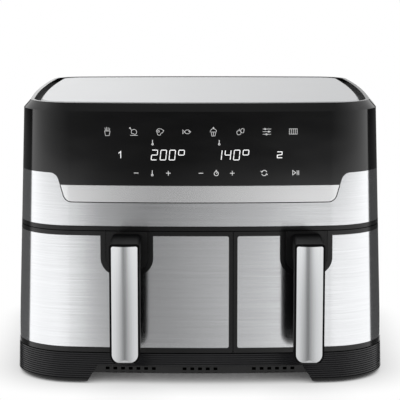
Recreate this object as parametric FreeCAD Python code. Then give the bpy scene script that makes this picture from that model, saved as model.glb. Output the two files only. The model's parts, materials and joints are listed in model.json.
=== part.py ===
import FreeCAD
import Part
import math
import os

os.makedirs("parts", exist_ok=True)

# All sizes are in millimetres. The front faces -Y, +X is to the viewer's right, +Z is up.

# Outer body: bowed sides joined by round corners, leaning inwards towards the top
body_width = 390.0
body_depth = 395.0
wall_lean_degrees = 1.9
front_bow_radius = 1200.0
side_bow_radius = 2400.0
rear_bow_radius = 2000.0
front_corner_radius = 66.0
rear_corner_radius = 50.0
side_seam_setback = 89.0
rear_seam_setback = 43.0

# Stack of heights from the table upwards
foot_protrusion = 1.5
base_height = 30.4
panel_gap = 0.8
drawer_height = 125.0
crossbar_height = 4.3
fascia_height = 24.1
strip_height = 17.3
step_height = 12.0
control_height = 74.8
rim_height = 8.0
plate_drop = 0.2

# Base tray
base_edge_round = 4.0
base_edge_steps = 3
shell_wall = 2.5
skirt_wall = 1.6
rib_count = 12
rib_depth = 0.5
arch_half_width = 116.0
arch_slope = 0.6
arch_height = 9.7
side_arch_half_length = 105.0
recess_depth = 3.5
recess_height = 18.1
vent_width = 4.0
vent_height = 5.3
vent_pitch = 7.9
vent_rise = 0.9
vent_lip = 0.8
vent_sill = 2.3
vent_group_offset = 70.9
left_vent_count = 7
middle_vent_count = 5
right_vent_count = 6
pad_radius = 10.0
pad_seat = 1.2
pad_side_setback = 45.0
pad_end_setback = 60.0
floor_sheet = 0.8
floor_rebate = 4.0
fit_gap = 0.2

# Housing panels
cover_wall = 2.5
lip_wall = 2.5
lip_width = 12.0
steel_sheet = 0.8
strip_thickness = 1.2
control_thickness = 2.5
carrier_depth = 5.5
strip_half_width = 136.7
step_lean = 0.305
console_round = 9.0
seam_gap = 0.3
rim_inset = 7.0
land_width = 3.7
groove_width = 6.3
lid_floor = 2.5
plate_bevel = 2.2

# Front frame and bays
divider_x = 33.6
frame_clearance = 1.0
frame_wall = 3.0
collar_wall = 2.0
bay_wall_gap = 3.3
bay_divider_margin = 11.6
window_top_margin = 3.0
chamber_sheet = 0.8
chamber_height = 41.0
chamber_rear_gap = 5.0

# Drawer fronts
drawer_front_thickness = 8.0
border_side = 4.0
border_low = 5.8
border_high = 4.6
skin_corner_round = 2.0
surround_half_width = 26.8
surround_round = 18.0
surround_depth = 45.2
surround_border = 5.2
surround_groove = 0.4
mount_proud = 0.4
mount_depth = 5.0

# Handles
handle_reach = 54.0
grip_width = 30.0
grip_thickness = 20.0
grip_front_radius = 28.0
grip_length = 120.6
grip_top_margin = 2.6
grip_corner_round = 9.5
grip_top_round = 4.0
grip_edge_round = 5.0
grip_shoulder_round = 2.5
grip_soft_edge = 2.5
neck_height = 21.0
neck_inner_round = 12.0
facing_thickness = 1.2
facing_border = 2.1
facing_top_margin = 2.5
handle_screw_radius = 2.0
handle_screw_head_radius = 4.0
handle_screw_head_height = 2.6
handle_screw_spacing = 16.0
handle_screw_length = 26.0

# Drawer bowls and runners
bay_clearance = 1.0
bowl_setback = 29.0
bowl_length = 289.0
bowl_corner_round = 25.0
bowl_flange = 7.0
bowl_flange_thickness = 1.4
bowl_wall = 1.6
bowl_draft = 5.0
bowl_floor_gap = 6.0
bowl_rim_drop = 6.7
bowl_bottom_round = 9.0
bowl_round_steps = 3
runner_gap = 0.3
rail_width = 6.5
rail_height = 12.0
rail_sheet = 1.2
bracket_half_width = 34.0
bracket_height = 32.0
bracket_rim_gap = 2.6

# Grill plates
plate_clearance = 3.0
plate_thickness = 2.0
plate_leg_height = 9.0
plate_slot_width = 5.0
plate_slot_length = 30.0
plate_slot_pitch_x = 14.0
plate_slot_pitch_y = 40.0
plate_margin = 16.0
bumper_radius = 7.0
bumper_inset = 15.0

# Heating and air
guard_sheet = 0.8
guard_rise = 3.0
guard_slot_width = 6.0
guard_slot_pitch = 13.0
guard_margin = 14.0
heater_tube_radius = 3.2
heater_tube_sides = 12
heater_rise = 8.0
heater_side_gap = 10.0
heater_gap_degrees = 18.0
heater_bend_radius = 8.0
heater_terminal = 12.0
heater_hole_gap = 1.0
shaft_radius = 3.0
shaft_clearance = 0.06
shaft_hole_gap = 2.0
fan_heater_gap = 15.0
fan_sheet = 1.0
fan_blade_height = 12.0
fan_blade_count = 8
fan_hub_radius = 8.0
fan_roof_gap = 3.0
motor_radius = 28.0
motor_height = 34.0
cooler_radius = 30.0
cooler_gap = 6.0
duct_side_margin = 35.0
duct_height = 30.0
duct_sheet = 0.8
duct_roof_gap = 3.0
slot_width = 4.0
slot_pitch = 9.0
slot_margin = 3.0
probe_radius = 2.2
probe_length = 30.0
probe_rim_gap = 5.0

# Boards, gland and screws
board_thickness = 1.6
board_half_width = 105.0
board_margin = 8.0
board_gap = 1.0
post_radius = 3.0
post_margin = 6.0
post_root = 1.0
display_half_width = 58.0
display_height = 18.0
display_thickness = 3.5
power_board_width = 120.0
power_board_depth = 70.0
power_post_height = 8.0
power_board_rear_gap = 6.0
transformer_size = 28.0
relay_size = 18.0
gland_seam_setback = 34.0
gland_rise = 26.0
gland_bore_radius = 3.6
gland_neck_radius = 6.5
gland_flange_radius = 9.0
gland_flange_thickness = 2.5
gland_length = 8.0
screw_radius = 1.6
screw_head_radius = 3.5
screw_head_height = 1.6
screw_hole_gap = 0.2
screw_length = 7.0
screw_end_margin = 25.0
screw_rows = 2

# Cutting bodies run this far past the pieces they cut
overshoot = 2.0

# Straight runs shorter than this are left out between two rounded corners
least_run = 0.001

# Levels along Y and Z worked out from the sizes above
total_depth = body_depth + handle_reach
y_handle = -total_depth / 2
y_front = y_handle + handle_reach
y_rear = total_depth / 2
y_mid = (y_front + y_rear) / 2
y_seam = y_front + side_seam_setback
y_bowl_front = y_front + bowl_setback
y_bowl_rear = y_bowl_front + bowl_length
y_chamber_rear = y_bowl_rear + chamber_rear_gap
z_base = foot_protrusion
z_widest = z_base + base_edge_round
z_base_top = z_base + base_height
z_arch = z_base + arch_height
z_drawer_low = z_base_top + panel_gap
z_drawer_high = z_drawer_low + drawer_height
z_crossbar_low = z_drawer_high + panel_gap
z_crossbar_high = z_crossbar_low + crossbar_height
z_strip_low = z_crossbar_high + fascia_height
z_strip_high = z_strip_low + strip_height
z_step = z_strip_high + step_height
z_control_top = z_strip_high + control_height
z_rim = z_control_top + rim_height
z_chamber_top = z_crossbar_high + chamber_height
z_window_low = z_base_top + collar_wall
z_window_high = z_drawer_high - window_top_margin
z_bowl_low = z_base_top + bowl_floor_gap
z_bowl_high = z_drawer_high - bowl_rim_drop
z_rail_top = z_bowl_high - bowl_flange_thickness - runner_gap
z_guard = z_crossbar_high + guard_rise
z_heater = z_guard + guard_sheet + heater_rise
z_roof = z_chamber_top - chamber_sheet
z_fan_top = z_roof - fan_roof_gap
z_motor_top = z_chamber_top + motor_height
z_cooler = z_motor_top + cooler_gap

half_width = body_width / 2


# Basic shapes
def point(x, y, z=0.0):
    return FreeCAD.Vector(x, y, z)


def box(x_low, x_high, y_low, y_high, z_low, z_high):
    return Part.makeBox(x_high - x_low, y_high - y_low, z_high - z_low, point(x_low, y_low, z_low))


def upright_rod(x, y, z_low, z_high, radius):
    return Part.makeCylinder(radius, z_high - z_low, point(x, y, z_low), point(0, 0, 1))


def level_rod(x, z, y_low, y_high, radius):
    return Part.makeCylinder(radius, y_high - y_low, point(x, y_low, z), point(0, 1, 0))


def joined(shapes):
    return shapes[0].multiFuse(shapes[1:]).removeSplitter()


def rounded_wire(corners, place):
    """Closed wire through (u, v, radius) corners; place turns u and v into a point."""
    count = len(corners)
    starts = []
    middles = []
    ends = []
    for index in range(count):
        u, v, radius = corners[index]
        here = point(u, v)
        before = point(corners[index - 1][0], corners[index - 1][1])
        after = point(corners[(index + 1) % count][0], corners[(index + 1) % count][1])
        to_before = (before - here).normalize()
        to_after = (after - here).normalize()
        half_angle = to_before.getAngle(to_after) / 2
        reach = radius / math.tan(half_angle)
        bisector = (to_before + to_after).normalize()
        starts.append(here + to_before * reach)
        ends.append(here + to_after * reach)
        middles.append(here + bisector * (radius / math.sin(half_angle) - radius))
    edges = []
    for index in range(count):
        start = place(starts[index])
        end = place(ends[index])
        following = place(starts[(index + 1) % count])
        if corners[index][2] > 0:
            edges.append(Part.Arc(start, place(middles[index]), end).toShape())
        if (following - end).Length > least_run:
            edges.append(Part.LineSegment(end, following).toShape())
    return Part.Wire(edges)


def front_prism(corners, y_low, y_high):
    """Outline drawn in the front view (x, z), carried from y_low to y_high."""
    wire = rounded_wire(corners, lambda flat: point(flat.x, y_low, flat.y))
    return Part.Face(wire).extrude(point(0, y_high - y_low, 0))


def side_prism(corners, x_low, x_high):
    """Outline drawn in the side view (y, z), carried from x_low to x_high."""
    wire = rounded_wire(corners, lambda flat: point(x_low, flat.x, flat.y))
    return Part.Face(wire).extrude(point(x_high - x_low, 0, 0))


def rectangle(u_low, u_high, v_low, v_high, radius):
    return [
        (u_low, v_low, radius),
        (u_high, v_low, radius),
        (u_high, v_high, radius),
        (u_low, v_high, radius),
    ]


def spread(low, high, length, pitch):
    """Middles of as many equal steps as fit between two limits."""
    count = int((high - low - length) / pitch) + 1
    middle = (low + high) / 2
    return [middle + (index - (count - 1) / 2) * pitch for index in range(count)]


def plan_wire(corners, z):
    return rounded_wire(corners, lambda flat: point(flat.x, flat.y, z))


def plan_prism(corners, z_low, z_high):
    return Part.Face(plan_wire(corners, z_low)).extrude(point(0, 0, z_high - z_low))


# Plan outline of the body: bowed runs joined by corner arcs in common tangents
def unit(vector):
    return vector * (1 / vector.Length)


def corner_centre(centre_a, radius_a, centre_b, radius_b):
    """Rightmost point at radius_a from centre_a and radius_b from centre_b."""
    span = centre_b - centre_a
    direction = unit(span)
    along = (span.Length ** 2 + radius_a ** 2 - radius_b ** 2) / (2 * span.Length)
    across = math.sqrt(radius_a ** 2 - along ** 2)
    foot = centre_a + direction * along
    sideways = point(-direction.y, direction.x) * across
    return max(foot + sideways, foot - sideways, key=lambda candidate: candidate.x)


front_centre = point(0, y_front + front_bow_radius)
rear_centre = point(0, y_rear - rear_bow_radius)
side_centre = point(half_width - side_bow_radius, y_mid)
front_corner = corner_centre(
    front_centre, front_bow_radius - front_corner_radius,
    side_centre, side_bow_radius - front_corner_radius,
)
rear_corner = corner_centre(
    rear_centre, rear_bow_radius - rear_corner_radius,
    side_centre, side_bow_radius - rear_corner_radius,
)


def mirrored(flat):
    return point(-flat.x, flat.y)


def outline_arcs():
    """Centre, radius, first and last direction of each arc, anticlockwise from the front."""
    front_out = unit(front_corner - front_centre)
    side_front_out = unit(front_corner - side_centre)
    side_rear_out = unit(rear_corner - side_centre)
    rear_out = unit(rear_corner - rear_centre)
    right = [
        (front_corner, front_corner_radius, front_out, side_front_out),
        (side_centre, side_bow_radius, side_front_out, side_rear_out),
        (rear_corner, rear_corner_radius, side_rear_out, rear_out),
    ]
    left = [
        (mirrored(centre), radius, mirrored(last), mirrored(first))
        for centre, radius, first, last in reversed(right)
    ]
    front = (front_centre, front_bow_radius, mirrored(front_out), front_out)
    rear = (rear_centre, rear_bow_radius, rear_out, mirrored(rear_out))
    return [front] + right + [rear] + left


arcs = outline_arcs()


def on_arc(centre, radius, direction, z):
    flat = centre + direction * radius
    return point(flat.x, flat.y, z)


def outline(inset, z):
    """Body outline moved inwards by inset, at height z."""
    edges = []
    for centre, radius, first, last in arcs:
        directions = (first, unit(first + last), last)
        spots = [on_arc(centre, radius - inset, direction, z) for direction in directions]
        edges.append(Part.Arc(*spots).toShape())
    return Part.Wire(edges)


def stacked(levels):
    """Solid through body outlines given as (inset, z), with straight slopes between them."""
    faces = [Part.Face(outline(*levels[0])), Part.Face(outline(*levels[-1]))]
    for (inset_low, z_low), (inset_high, z_high) in zip(levels, levels[1:]):
        for centre, radius, first, last in arcs:
            low = on_arc(centre, radius - inset_low, first, z_low)
            high = on_arc(centre, radius - inset_high, first, z_high)
            slope = Part.LineSegment(low, high).toShape()
            turn = math.degrees(first.getAngle(last))
            faces.append(slope.revolve(centre, point(0, 0, 1), turn))
    shell = Part.Shell(faces)
    shell.sewShape()
    return Part.Solid(shell)


def lean(z):
    """How far the leaning wall has moved inwards at height z."""
    return (z - z_widest) * math.tan(math.radians(wall_lean_degrees))


def form(inset, z_low, z_high):
    """Leaning body form, moved inwards by inset, between two heights."""
    return stacked([(inset + lean(z), z) for z in (z_low, z_high)])


def layer(outer_inset, inner_inset, z_low, z_high):
    """Skin of the body form between two insets."""
    inner = form(inner_inset, z_low - overshoot, z_high + overshoot)
    return form(outer_inset, z_low, z_high).cut(inner)


def front_y(x, z, inset):
    radius = front_bow_radius - inset - lean(z)
    return front_centre.y - math.sqrt(radius ** 2 - x ** 2)


def rear_y(x, z, inset):
    radius = rear_bow_radius - inset - lean(z)
    return rear_centre.y + math.sqrt(radius ** 2 - x ** 2)


y_far_front = y_handle - overshoot
y_far_rear = y_rear + overshoot
x_far = half_width + overshoot
front_zone = box(-x_far, x_far, y_far_front, y_seam, 0, z_rim)

# The bays start behind the round front corners, inside the front frame
frame_inset = drawer_front_thickness + frame_clearance
frame_back = frame_inset + frame_wall
y_chamber = front_corner.y
y_fan = (y_chamber + y_chamber_rear) / 2
x_frame = front_corner.x + front_corner_radius - lean(z_crossbar_high) - frame_back
x_bay = x_frame - bay_wall_gap - chamber_sheet

# Each side: limits of its bay, drawer front and skin, and the sizes that follow from them
bays = {
    "left": {
        "low": -x_bay,
        "high": divider_x - bay_divider_margin,
        "front_low": -x_far,
        "front_high": divider_x - panel_gap / 2,
        "skin_low": -x_far,
        "skin_high": divider_x - panel_gap / 2 - border_side,
    },
    "right": {
        "low": divider_x + bay_divider_margin,
        "high": x_bay,
        "front_low": divider_x + panel_gap / 2,
        "front_high": x_far,
        "skin_low": divider_x + panel_gap / 2 + border_side,
        "skin_high": x_far,
    },
}
for bay in bays.values():
    half_bay = (bay["high"] - bay["low"]) / 2
    bay["centre"] = (bay["low"] + bay["high"]) / 2
    bay["duct_half"] = half_bay - duct_side_margin
    bay["heater_radius"] = half_bay - heater_side_gap
    bay["fan_radius"] = bay["heater_radius"] - fan_heater_gap

pieces = {}


# Base: tray with arches between four corner feet and vents in front, in a ribbed skirt
def arch_prism(half_length, grow, along_x):
    """Tapered tunnel under the base, made larger all round by grow."""
    z_top = z_arch + grow
    low = half_length + grow + arch_slope * overshoot
    high = half_length + grow - arch_slope * (z_top - z_base)
    z_low = z_base - overshoot
    middle = y_mid if along_x else 0.0
    corners = [
        (middle - low, z_low, 0), (middle + low, z_low, 0),
        (middle + high, z_top, 0), (middle - high, z_top, 0),
    ]
    if along_x:
        return side_prism(corners, -x_far, x_far)
    return front_prism(corners, y_far_front, y_far_rear)


def arches(grow):
    along_y = arch_prism(arch_half_width, grow, False)
    along_x = arch_prism(side_arch_half_length, grow, True)
    return along_y.fuse(along_x)


def vent_columns():
    columns = []
    missing_end = (left_vent_count - right_vent_count) * vent_pitch / 2
    groups = (
        (-vent_group_offset, left_vent_count),
        (0.0, middle_vent_count),
        (vent_group_offset + missing_end, right_vent_count),
    )
    for centre, count in groups:
        for index in range(count):
            columns.append(centre + (index - (count - 1) / 2) * vent_pitch)
    return columns


pad_spots = []
for pad_x in (-half_width + pad_side_setback, half_width - pad_side_setback):
    for pad_y in (y_front + pad_end_setback, y_rear - pad_end_setback):
        pad_spots.append((pad_x, pad_y))


def recess_zone():
    """Smooth low band between the front feet, with sloping ends."""
    z_recess = z_base + recess_height
    low = arch_half_width + arch_slope * overshoot
    high = arch_half_width - arch_slope * recess_height
    corners = [
        (-low, z_base - overshoot, 0), (low, z_base - overshoot, 0),
        (high, z_recess, 0), (-high, z_recess, 0),
    ]
    return front_prism(corners, y_far_front, y_seam)


def vent_prism(x, inner_inset):
    """Vent through the recessed wall, with a stepped sill set back behind its lower half."""
    z_low = z_arch + vent_rise
    z_high = z_low + vent_height
    z_sill = z_low + vent_sill
    y_lip = front_y(x, z_low, recess_depth) + vent_lip
    y_end = front_y(arch_half_width, z_low, inner_inset) + overshoot
    profile = [
        (y_far_front, z_low, 0), (y_lip, z_low, 0), (y_lip, z_sill, 0),
        (y_end, z_sill, 0), (y_end, z_high, 0), (y_far_front, z_high, 0),
    ]
    return side_prism(profile, x - vent_width / 2, x + vent_width / 2)


def make_base_tray():
    levels = []
    for step in range(base_edge_steps + 1):
        angle = math.pi / 2 * step / base_edge_steps
        z = z_base + base_edge_round * (1 - math.cos(angle))
        inset = base_edge_round * (1 - math.sin(angle))
        levels.append((inset + lean(z), z))
    rim = stacked(levels)
    wall = form(skirt_wall, z_widest, z_base_top)

    inner_inset = recess_depth + shell_wall
    hollow = form(inner_inset, z_base + shell_wall, z_base_top + overshoot).cut(arches(shell_wall))
    rebate = form(floor_rebate, z_base_top - floor_sheet, z_base_top + overshoot)

    recess = layer(-overshoot, recess_depth, z_base - overshoot, z_base_top).common(recess_zone())

    cutters = [hollow, rebate, recess]
    for x in vent_columns():
        cutters.append(vent_prism(x, inner_inset))
    for x, y in pad_spots:
        cutters.append(upright_rod(x, y, z_base - overshoot, z_base + pad_seat, pad_radius))
    return rim.fuse(wall).cut(arches(0.0)).cut(cutters)


def make_base_skirt():
    rib_pitch = (z_base_top - z_widest) / rib_count
    levels = [(lean(z_widest) + rib_depth, z_widest)]
    for rib in range(rib_count):
        z_crest = z_widest + (rib + 0.5) * rib_pitch
        z_valley = z_widest + (rib + 1) * rib_pitch
        levels.append((lean(z_crest), z_crest))
        levels.append((lean(z_valley) + rib_depth, z_valley))
    core = form(skirt_wall, z_widest - overshoot, z_base_top + overshoot)
    return stacked(levels).cut([core, arches(0.0), recess_zone()])


def make_foot_pads():
    pads = []
    for x, y in pad_spots:
        pads.append(upright_rod(x, y, 0, z_base + pad_seat, pad_radius - fit_gap))
    return Part.makeCompound(pads)


pieces["base_tray"] = make_base_tray()
pieces["base_skirt"] = make_base_skirt()
pieces["foot_pads"] = make_foot_pads()
pieces["bay_floor"] = form(floor_rebate + fit_gap, z_base_top - floor_sheet, z_base_top)


# Front frame: bowed plate behind the drawer fronts, cross bar above them, collars round the bays
def make_front_frame():
    plate = layer(frame_inset, frame_back, z_base_top, z_crossbar_high).common(front_zone)
    crossbar = layer(0.0, frame_back, z_crossbar_low, z_crossbar_high).common(front_zone)
    inside = form(frame_inset, z_base_top, z_crossbar_high)
    solids = [plate, crossbar]
    windows = []
    for bay in bays.values():
        collar = box(
            bay["low"] - collar_wall, bay["high"] + collar_wall,
            y_far_front, y_chamber, z_base_top, z_crossbar_high,
        )
        window = box(
            bay["low"], bay["high"],
            y_far_front, y_chamber + overshoot, z_window_low, z_window_high,
        )
        solids.append(collar.common(inside).cut(window))
        windows.append(window)
    return joined(solids).cut(windows)


pieces["front_frame"] = make_front_frame()


# Console: black carrier holding the touch panel, the satin strip and the steel fascia
def console_profile(shrink):
    """Touch panel and strip in the front view; the panel runs out past both sides."""
    low = z_strip_low + shrink
    step = z_step + shrink
    x_low = strip_half_width - shrink
    x_step = x_low + step_lean * (step - low)
    top = z_control_top + overshoot
    return [
        (-x_far, top, 0), (-x_far, step, 0),
        (-x_step, step, console_round), (-x_low, low, console_round),
        (x_low, low, console_round), (x_step, step, console_round),
        (x_far, step, 0), (x_far, top, 0),
    ]


def console_layer(thickness, zone):
    return layer(0.0, thickness, z_crossbar_high, z_control_top).common(zone)


def make_console():
    console = front_prism(console_profile(0.0), y_far_front, y_seam)
    shrunk = front_prism(console_profile(seam_gap), y_far_front, y_seam)
    above = box(-x_far, x_far, y_far_front, y_seam, z_strip_high, z_rim)
    fascia_zone = box(
        -x_far, x_far, y_far_front, y_seam, z_crossbar_high + seam_gap, z_rim,
    ).cut(console)
    control_panel = console_layer(control_thickness, console.common(above))
    trim_strip = console_layer(strip_thickness, shrunk.cut(above))
    fascia = console_layer(steel_sheet, fascia_zone)

    strip_pocket = console_layer(strip_thickness, console.cut(above))
    fascia_pocket = console_layer(steel_sheet, front_zone.cut(console))
    carrier = layer(0.0, carrier_depth, z_crossbar_high, z_control_top).common(front_zone)
    carrier = carrier.cut([control_panel, strip_pocket, fascia_pocket])
    return carrier, control_panel, trim_strip, fascia


z_board_low = z_strip_high + board_margin
z_board_high = z_control_top - board_margin
y_board = front_y(board_half_width, z_board_high, carrier_depth) + board_gap


def make_board_posts():
    posts = []
    for x in (-board_half_width + post_margin, board_half_width - post_margin):
        for z in (z_board_low + post_margin, z_board_high - post_margin):
            root = front_y(x, z, carrier_depth - post_root)
            posts.append(level_rod(x, z, root, y_board, post_radius))
    return posts


def make_display_board():
    board = box(
        -board_half_width, board_half_width,
        y_board, y_board + board_thickness, z_board_low, z_board_high,
    )
    z_middle = (z_board_low + z_board_high) / 2
    display = box(
        -display_half_width, display_half_width, y_board - display_thickness, y_board,
        z_middle - display_height / 2, z_middle + display_height / 2,
    )
    return Part.makeCompound([board, display])


carrier, control_panel, trim_strip, fascia = make_console()
pieces["console_carrier"] = joined([carrier] + make_board_posts())
pieces["control_panel"] = control_panel
pieces["trim_strip"] = trim_strip
pieces["fascia"] = fascia
pieces["display_board"] = make_display_board()


# Top cover: lid with a chamfered rim and a groove round the pressed steel plate
z_lid_floor = z_control_top + lid_floor
rim_edge_inset = lean(z_control_top) + rim_inset
plate_inset = rim_edge_inset + land_width + groove_width


def upright_form(inset, z_low, z_high):
    return Part.Face(outline(inset, z_low)).extrude(point(0, 0, z_high - z_low))


def make_top_cover():
    lid = stacked([(lean(z_control_top), z_control_top), (rim_edge_inset, z_rim)])
    return lid.cut(upright_form(rim_edge_inset + land_width, z_lid_floor, z_rim + overshoot))


def make_top_plate():
    z_top = z_rim - plate_drop
    pan = stacked([
        (plate_inset, z_lid_floor),
        (plate_inset, z_top - plate_bevel),
        (plate_inset + plate_bevel, z_top),
    ])
    hollow_inset = plate_inset + plate_bevel + steel_sheet
    return pan.cut(upright_form(hollow_inset, z_lid_floor - overshoot, z_top - steel_sheet))


pieces["top_cover"] = make_top_cover()
pieces["top_plate"] = make_top_plate()


# Side and rear covers: one wrapped skin parted at two seams, screwed to lips behind the rear cover
rear_seam_half_width = half_width - rear_seam_setback
rear_zone = box(
    -rear_seam_half_width, rear_seam_half_width, y_mid, y_far_rear, z_base_top, z_control_top)
z_duct_high = z_roof - duct_roof_gap
z_duct_low = z_duct_high - duct_height
screw_x = rear_seam_half_width - lip_width / 2
screw_span = z_control_top - z_base_top - 2 * screw_end_margin
screw_spots = []
for row in range(screw_rows):
    screw_z = z_base_top + screw_end_margin + screw_span * row / (screw_rows - 1)
    screw_spots.append((-screw_x, screw_z))
    screw_spots.append((screw_x, screw_z))
gland_x = rear_seam_half_width - gland_seam_setback
gland_z = z_base_top + gland_rise


def rear_seat(x, z, radius):
    """Depth of a flat seat of this radius sunk just below the bowed rear surface."""
    return rear_y(abs(x) + radius, z + radius, 0.0)


def screw_holes():
    holes = []
    for x, z in screw_spots:
        holes.append(level_rod(x, z, y_mid, y_far_rear, screw_radius + screw_hole_gap))
    return holes


def make_side_cover(mirror):
    half_zone = box(0, x_far, y_seam, y_far_rear, z_base_top, z_control_top)
    skin = layer(0.0, cover_wall, z_base_top, z_control_top).common(half_zone).cut(rear_zone)
    lip_zone = box(
        rear_seam_half_width - lip_width, rear_seam_half_width + lip_width,
        y_mid, y_far_rear, z_base_top, z_control_top,
    )
    lip = layer(cover_wall, cover_wall + lip_wall, z_base_top, z_control_top).common(lip_zone)
    cover = joined([skin, lip]).cut(screw_holes())
    if mirror:
        return cover.mirror(point(0, 0, 0), point(1, 0, 0))
    return cover


def make_rear_cover():
    cover = layer(0.0, cover_wall, z_base_top, z_control_top).common(rear_zone)
    cutters = screw_holes()
    for x, z in screw_spots:
        seat = rear_seat(x, z, screw_head_radius)
        cutters.append(level_rod(x, z, seat, y_far_rear, screw_head_radius + fit_gap))
    seat = rear_seat(gland_x, gland_z, gland_flange_radius)
    cutters.append(level_rod(gland_x, gland_z, seat, y_far_rear, gland_flange_radius + fit_gap))
    cutters.append(level_rod(gland_x, gland_z, y_mid, y_far_rear, gland_neck_radius + fit_gap))
    for bay in bays.values():
        reach = bay["duct_half"] - slot_margin
        for x in spread(bay["centre"] - reach, bay["centre"] + reach, slot_width, slot_pitch):
            slot = rectangle(
                x - slot_width / 2, x + slot_width / 2,
                z_duct_low + slot_margin, z_duct_high - slot_margin, slot_width / 2,
            )
            cutters.append(front_prism(slot, y_mid, y_far_rear))
    return cover.cut(cutters)


def make_rear_screws():
    screws = []
    for x, z in screw_spots:
        seat = rear_seat(x, z, screw_head_radius)
        head = level_rod(x, z, seat, seat + screw_head_height, screw_head_radius)
        shank = level_rod(x, z, seat - screw_length, seat, screw_radius)
        screws.append(head.fuse(shank).removeSplitter())
    return Part.makeCompound(screws)


def make_cord_gland():
    seat = rear_seat(gland_x, gland_z, gland_flange_radius)
    y_low = seat - gland_length
    y_high = seat + gland_flange_thickness
    neck = level_rod(gland_x, gland_z, y_low, seat, gland_neck_radius)
    flange = level_rod(gland_x, gland_z, seat, y_high, gland_flange_radius)
    bore = level_rod(gland_x, gland_z, y_low - overshoot, y_high + overshoot, gland_bore_radius)
    return flange.fuse(neck).removeSplitter().cut(bore)


pieces["side_cover_left"] = make_side_cover(True)
pieces["side_cover_right"] = make_side_cover(False)
pieces["rear_cover"] = make_rear_cover()
pieces["rear_screws"] = make_rear_screws()
pieces["cord_gland"] = make_cord_gland()


# Cooking chamber of one bay: hood of thin sheet, open below the roof at the front
def heater_ends(bay):
    """Each open end of the heating loop: its place and the direction away from the loop."""
    ends = []
    for side in (-1, 1):
        angle = math.radians(heater_gap_degrees) * side
        spot = point(
            bay["centre"] + bay["heater_radius"] * math.sin(angle),
            y_fan - bay["heater_radius"] * math.cos(angle),
            z_heater,
        )
        ends.append((spot, point(-math.cos(angle), -math.sin(angle)) * side))
    return ends


def heater_leg(spot, away):
    """Top of the quarter bend, where the straight leg through the roof starts."""
    return spot + away * heater_bend_radius + point(0, 0, heater_bend_radius)


def tube_section(spot, along, across):
    """Many-sided section of the heating tube, with one corner in the direction across."""
    sideways = along.cross(across)
    corners = []
    for index in range(heater_tube_sides):
        angle = 2 * math.pi * index / heater_tube_sides
        direction = across * math.cos(angle) + sideways * math.sin(angle)
        corners.append(spot + direction * heater_tube_radius)
    return Part.Face(Part.makePolygon(corners + corners[:1]))


def make_heater(bay):
    up = point(0, 0, 1)
    ends = heater_ends(bay)
    turn = 360 - 2 * heater_gap_degrees
    loop = tube_section(*ends[1], up).revolve(point(bay["centre"], y_fan, z_heater), up, turn)
    solids = [loop]
    for spot, away in ends:
        bend_axis = away.cross(up)
        section = tube_section(spot, away, up)
        solids.append(section.revolve(spot + up * heater_bend_radius, bend_axis, 90))
        leg = heater_leg(spot, away)
        leg_height = z_chamber_top + heater_terminal - leg.z
        solids.append(tube_section(leg, up, away).extrude(up * leg_height))
    return joined(solids)


def make_chamber(bay):
    outer = box(
        bay["low"] - chamber_sheet, bay["high"] + chamber_sheet,
        y_chamber, y_chamber_rear + chamber_sheet, z_base_top, z_chamber_top,
    )
    inner = box(
        bay["low"], bay["high"],
        y_chamber + chamber_sheet, y_chamber_rear, z_base_top - overshoot, z_roof,
    )
    mouth = box(
        bay["low"], bay["high"],
        y_chamber - overshoot, y_chamber + 2 * chamber_sheet,
        z_base_top - overshoot, z_crossbar_high,
    )
    cutters = [inner, mouth]
    cutters.append(upright_rod(
        bay["centre"], y_fan, z_roof - overshoot, z_chamber_top + overshoot,
        shaft_radius + shaft_hole_gap,
    ))
    for spot, away in heater_ends(bay):
        leg = heater_leg(spot, away)
        cutters.append(upright_rod(
            leg.x, leg.y, z_roof - overshoot, z_chamber_top + overshoot,
            heater_tube_radius + heater_hole_gap,
        ))
    cutters.append(box(
        bay["centre"] - bay["duct_half"] + duct_sheet, bay["centre"] + bay["duct_half"] - duct_sheet,
        y_chamber_rear - overshoot, y_chamber_rear + overshoot,
        z_duct_low + duct_sheet, z_duct_high - duct_sheet,
    ))
    cutters.append(level_rod(
        bay["centre"], z_probe, y_chamber_rear - overshoot, y_chamber_rear + overshoot,
        probe_radius + fit_gap,
    ))
    return outer.cut(cutters)


z_probe = z_bowl_high + probe_rim_gap + probe_radius


def make_rails(bay):
    y_low = y_chamber + 2 * chamber_sheet
    z_low = z_rail_top - rail_height
    rails = []
    for wall, inward in ((bay["low"], 1), (bay["high"], -1)):
        upright_end = wall + inward * rail_sheet
        level_end = wall + inward * rail_width
        upright = box(
            min(wall, upright_end), max(wall, upright_end), y_low, y_chamber_rear, z_low, z_rail_top)
        level = box(
            min(wall, level_end), max(wall, level_end),
            y_low, y_chamber_rear, z_rail_top - rail_sheet, z_rail_top,
        )
        rails.append(upright.fuse(level).removeSplitter())
    return Part.makeCompound(rails)


def make_guard(bay):
    y_low = y_chamber + chamber_sheet
    guard = box(
        bay["low"], bay["high"], y_low, y_chamber_rear, z_guard, z_guard + guard_sheet)
    width = bay["high"] - bay["low"] - 2 * guard_margin
    count = int(width / guard_slot_pitch)
    slots = []
    for index in range(count):
        x = bay["centre"] + (index - (count - 1) / 2) * guard_slot_pitch
        for y_start, y_end in ((y_low, y_fan), (y_fan, y_chamber_rear)):
            slots.append(box(
                x - guard_slot_width / 2, x + guard_slot_width / 2,
                y_start + guard_margin, y_end - guard_margin,
                z_guard - overshoot, z_guard + guard_sheet + overshoot,
            ))
    return guard.cut(slots)


def make_duct(bay):
    outer = box(
        bay["centre"] - bay["duct_half"], bay["centre"] + bay["duct_half"],
        y_chamber_rear + chamber_sheet, y_far_rear, z_duct_low, z_duct_high,
    )
    inner = box(
        bay["centre"] - bay["duct_half"] + duct_sheet, bay["centre"] + bay["duct_half"] - duct_sheet,
        y_chamber_rear, y_far_rear + overshoot, z_duct_low + duct_sheet, z_duct_high - duct_sheet,
    )
    return outer.cut(inner).common(form(cover_wall, z_base_top, z_control_top))


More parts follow.
